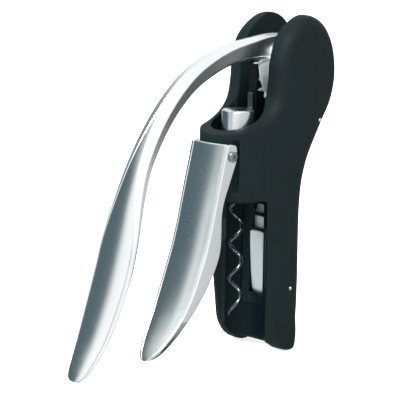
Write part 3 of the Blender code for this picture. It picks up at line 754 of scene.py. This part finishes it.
CLAMP_LINE = [  # outer edge Y, Z, rear edge Y, half width, crown
    (-19.6, 111.0, -13.6, 13.1, 1.8), (-21.4, 103.5, -13.6, 13.1, 1.9),
    (-24.0, 93.9, -17.4, 13.1, 2.0), (-26.8, 82.9, -22.0, 13.1, 2.2),
    (-28.6, 75.2, -23.6, 13.1, 2.4), (-30.6, 67.5, -23.7, 13.1, 2.5),
    (-33.4, 58.5, -24.2, 13.1, 2.6), (-36.7, 50.2, -27.0, 13.0, 2.6),
    (-41.4, 39.2, -33.1, 12.7, 2.6), (-46.6, 29.2, -40.4, 11.8, 2.5),
    (-52.0, 21.0, -47.0, 10.3, 2.2), (-56.4, 15.2, -52.0, 8.6, 1.8),
    (-60.0, 10.8, -56.0, 6.7, 1.3), (-62.6, 7.4, -59.4, 4.4, 0.8), (-63.5, 5.9, -61.7, 2.2, 0.3)]
CHANNEL_END = 11                # number of stations that the hollow runs through
CHANNEL_WALL = 1.4
CHANNEL_REAR = 12               # how far the hollow reaches past the rear edge
CHANNEL_ABOVE = 4               # and past the top
CLAMP_CREASE = 2.0              # from the edge
TOP_CORNER = 3.2                # radius of the rear top corner
TOP_EDGE = 0.35                 # small slope round the top face


def clamp_stations(count, steps):
    """Smooth run of stations through the first ones of CLAMP_LINE."""
    return curve_through(CLAMP_LINE[:count], steps)


def clamp_section(face, rear, wide, crown):
    """Solid section of the handle as (x, y) points."""
    share = max(0.3, 1 - CLAMP_CREASE / wide)
    half = [(x, face - h) for x, h in crowned_half(wide, crown, share)]
    half += [(wide - 0.12, face + 0.02), (wide, face + 0.35)]
    half += [(wide, rear - 0.35), (wide - 0.35, rear), (wide * 0.5, rear)]
    return half + [(-x, y) for x, y in reversed(half[1:])]


def clamp_solid():
    """Handle without its hollow, the rear top corner rounded."""
    rings = []
    _, top, top_rear, _, _ = CLAMP_LINE[0]
    for y, z, rear, wide, crown in clamp_stations(len(CLAMP_LINE), 8):
        over = max(0.0, z - (top - TOP_CORNER)) / TOP_CORNER
        rear_here = rear - TOP_CORNER * (1 - math.sqrt(max(0.0, 1 - min(over, 0.985) ** 2)))
        rings.append([(x, py, z) for x, py in clamp_section(y, rear_here, wide, crown)])
    cap = [(x * 0.975, y + TOP_EDGE if y < top_rear - 3 else y - 0.2, z) for x, y, z in rings[0]]
    rings[0] = [(x, y, z - TOP_EDGE) for x, y, z in rings[0]]
    return loft("clamp_handle_skin", [cap] + rings)


def clamp_channel():
    """Hollow of the handle, open to the rear and at the top."""
    rings = []
    for y, z, rear, wide, crown in clamp_stations(CHANNEL_END, 8):
        face, back, half = y + CHANNEL_WALL, rear + CHANNEL_REAR, wide - CHANNEL_WALL
        outer = [(-1, 0), (-0.55, 0.7), (0, 1), (0.55, 0.7), (1, 0)]
        rings.append([(-half, back, z)] + [(half * a, face - crown * b, z) for a, b in outer]
                     + [(half, back, z)])
    rings.insert(0, [(x, y, z + CHANNEL_ABOVE) for x, y, z in rings[0]])
    return loft("cut_channel", rings)


def make_clamp_handle():
    handle = clamp_solid()
    combine(handle, "DIFFERENCE", [
        clamp_channel(),
        rod("cut_clamp_bore", CLAMP_AXLE_HOLE, -20, 20, (0, *CLAMP_PIVOT))])
    settle(handle, "clamp_handle", "satin_metal", 24)


# Carried-over nodes

LOOKS = {"toothed_sector": "bright_zinc", "rack_clip": "black_chrome", "worm_nut": "dark_steel"}
SOFT_EDGES = {"inner_frame": 0.5, "toothed_sector": 0.12, "rack_clip": 0.25, "rack": 0.12,
              "clamp_jaw": 0.4, "jaw_pad_right": 0.3, "jaw_pad_left": 0.3}


def finish_frame_nodes():
    """Every CAD node gets its own finish or its slot's, and some get softened edges."""
    slots = {part["node"]: part["material_slot"] for part in frame["record"]["subparts"]}
    for name, node in frame["nodes"].items():
        node.data.materials.clear()
        node.data.materials.append(FINISH[LOOKS.get(name, slots[name])])
    for name, width in SOFT_EDGES.items():
        bevel(frame["nodes"][name], width, 2)


# Studio

WHITE = (1.0, 1.0, 1.0, 1)
SLATE = (0.080, 0.130, 0.148, 1)
GROUND = (0.004, 0.014, 0.018, 1)
# Directions in the world: azimuth in degrees from the front (-Y) towards +X, and height as the
# Z of a unit vector. Each pair is where a fade starts and where it ends.
SCREEN_LEFT = (-130, -90)
SCREEN_RIGHT = (-35, -15)
SCREEN_TOP = (0.35, 0.85)
SIDE_LEFT = (0, 60)
SIDE_TOP = (0.15, 0.55)
SIDE_STRENGTH = 0.40
GROUND_LEFT = (136, 147)
GROUND_TOP = (-0.245, -0.175)


def math_node(tree, operation, *values):
    """Arithmetic on sockets or numbers."""
    made = tree.nodes.new("ShaderNodeMath")
    made.operation = operation
    made.use_clamp = operation == "MULTIPLY"
    for i, value in enumerate(values):
        if isinstance(value, (int, float)):
            made.inputs[i].default_value = value
        else:
            tree.links.new(value, made.inputs[i])
    return made.outputs[0]


def smooth_step(tree, source, span, low=0.0, high=1.0):
    """Smooth change from low to high over the span of the source."""
    made = tree.nodes.new("ShaderNodeMapRange")
    made.interpolation_type = "SMOOTHSTEP"
    made.inputs["From Min"].default_value, made.inputs["From Max"].default_value = span
    made.inputs["To Min"].default_value = low
    made.inputs["To Max"].default_value = high
    tree.links.new(source, made.inputs["Value"])
    return made.outputs["Result"]


def mix_colours(tree, factor, first, second):
    """Mixes two colours, each a socket or a fixed value."""
    made = tree.nodes.new("ShaderNodeMix")
    made.data_type = "RGBA"
    tree.links.new(factor, made.inputs[0])
    for colour_input, value in ((6, first), (7, second)):
        if isinstance(value, tuple):
            made.inputs[colour_input].default_value = value
        else:
            tree.links.new(value, made.inputs[colour_input])
    return made.outputs[2]


def make_world():
    """White tent: slate screen at the front left, faint one at the right, dark ground behind."""
    world = bpy.data.worlds.new("studio")
    bpy.context.scene.world = world
    world.use_nodes = True
    tree = world.node_tree
    ray = tree.nodes.new("ShaderNodeTexCoord")
    parts = tree.nodes.new("ShaderNodeSeparateXYZ")
    tree.links.new(ray.outputs["Generated"], parts.inputs["Vector"])
    ahead = math_node(tree, "SUBTRACT", 0.0, parts.outputs["Y"])
    azimuth = math_node(tree, "ARCTAN2", parts.outputs["X"], ahead)
    height = parts.outputs["Z"]

    def fade(degrees, *ends):
        return smooth_step(tree, azimuth, [math.radians(a) for a in degrees], *ends)

    screen_sides = math_node(tree, "MULTIPLY", fade(SCREEN_RIGHT, 1.0, 0.0), fade(SCREEN_LEFT))
    screen = math_node(tree, "MULTIPLY", screen_sides,
                       smooth_step(tree, height, SCREEN_TOP, 1.0, 0.0))
    side = math_node(tree, "MULTIPLY", fade(SIDE_LEFT),
                     smooth_step(tree, height, SIDE_TOP, SIDE_STRENGTH, 0.0))
    ground = math_node(tree, "MULTIPLY", fade(GROUND_LEFT),
                       smooth_step(tree, height, GROUND_TOP, 1.0, 0.0))
    above = mix_colours(tree, math_node(tree, "MAXIMUM", screen, side), WHITE, SLATE)
    whole = mix_colours(tree, ground, above, GROUND)
    light = tree.nodes["Background"]
    tree.links.new(whole, light.inputs["Color"])
    light.inputs["Strength"].default_value = 1.03


def add_light(name, spot, target, size, power):
    """Round lamp that looks at a target, all in metres."""
    lamp = bpy.data.lights.new(name, "AREA")
    lamp.shape = "DISK"
    lamp.size = size
    lamp.energy = power
    made = bpy.data.objects.new(name, lamp)
    bpy.context.scene.collection.objects.link(made)
    aim = (Vector(target) - Vector(spot)).to_track_quat("-Z", "Y").to_matrix().to_4x4()
    made.matrix_world = Matrix.Translation(Vector(spot)) @ aim
    return made


def make_floor():
    """Pale paper that glows a little, and is left out of the reflections in the metal."""
    mesh = bpy.data.meshes.new("floor")
    reach = 6.0
    corners = [(-reach, -reach, 0), (reach, -reach, 0), (reach, reach, 0), (-reach, reach, 0)]
    mesh.from_pydata(corners, [], [(0, 1, 2, 3)])
    floor = bpy.data.objects.new("floor", mesh)
    bpy.context.scene.collection.objects.link(floor)
    paper = material("floor", (0.96, 0.965, 0.965), 0.9, specular=0.0, grain=40, bump=0.0,
                     colour_swing=0.004, roughness_swing=0.02, cloud=3)
    shader = paper.node_tree.nodes["Principled BSDF"]
    shader.inputs["Emission Color"].default_value = (1, 1, 1, 1)
    shader.inputs["Emission Strength"].default_value = 0.75
    paper.cycles.emission_sampling = "NONE"
    mesh.materials.append(paper)
    floor.visible_glossy = False


def make_studio():
    bpy.context.scene.view_settings.view_transform = "Standard"
    make_world()
    make_floor()
    worm_light = add_light("worm_light", (0.30, -0.42, 0.72), target=(0, 0.03, 0.05),
                           size=0.30, power=8.0)
    worm_light.data.use_shadow = False
    worm_light.visible_diffuse = False
    key = add_light("key", (-0.80, -0.80, 0.90), target=(0, 0, 0.10), size=0.50, power=32.0)
    key.visible_glossy = False


CAMERA_ANGLES = (45, 10.6, 0.87)        # azimuth from the front, elevation and roll in degrees
CAMERA_TARGET = (0, -26.3, 82.4)        # design millimetres
CAMERA_DISTANCE = 0.9
FOCAL_LENGTH = 162
SENSOR_WIDTH = 36


def make_camera():
    """Camera at the photograph's viewing angle."""
    azimuth, elevation, roll = (math.radians(angle) for angle in CAMERA_ANGLES)
    back = Vector((math.sin(azimuth) * math.cos(elevation),
                   -math.cos(azimuth) * math.cos(elevation), math.sin(elevation)))
    right = Vector((math.cos(azimuth), math.sin(azimuth), 0))
    up = back.cross(right)
    level = right * math.cos(roll) + up * math.sin(roll)
    plumb = up * math.cos(roll) - right * math.sin(roll)
    lens = bpy.data.cameras.new("camera")
    lens.lens = FOCAL_LENGTH
    lens.sensor_width = SENSOR_WIDTH
    camera = bpy.data.objects.new("camera", lens)
    bpy.context.scene.collection.objects.link(camera)
    turn = Matrix((level, plumb, back)).transposed().to_4x4()
    spot = place(CAMERA_TARGET) + back * CAMERA_DISTANCE
    camera.matrix_world = Matrix.Translation(spot) @ turn
    bpy.context.scene.camera = camera


make_camera()
make_studio()
finish_frame_nodes()
make_body()
make_liner()
make_strip()
make_nut_block()
make_cross_pins()
make_clamp_screws()
make_lever()
make_cap()
make_worm()
make_clamp_handle()
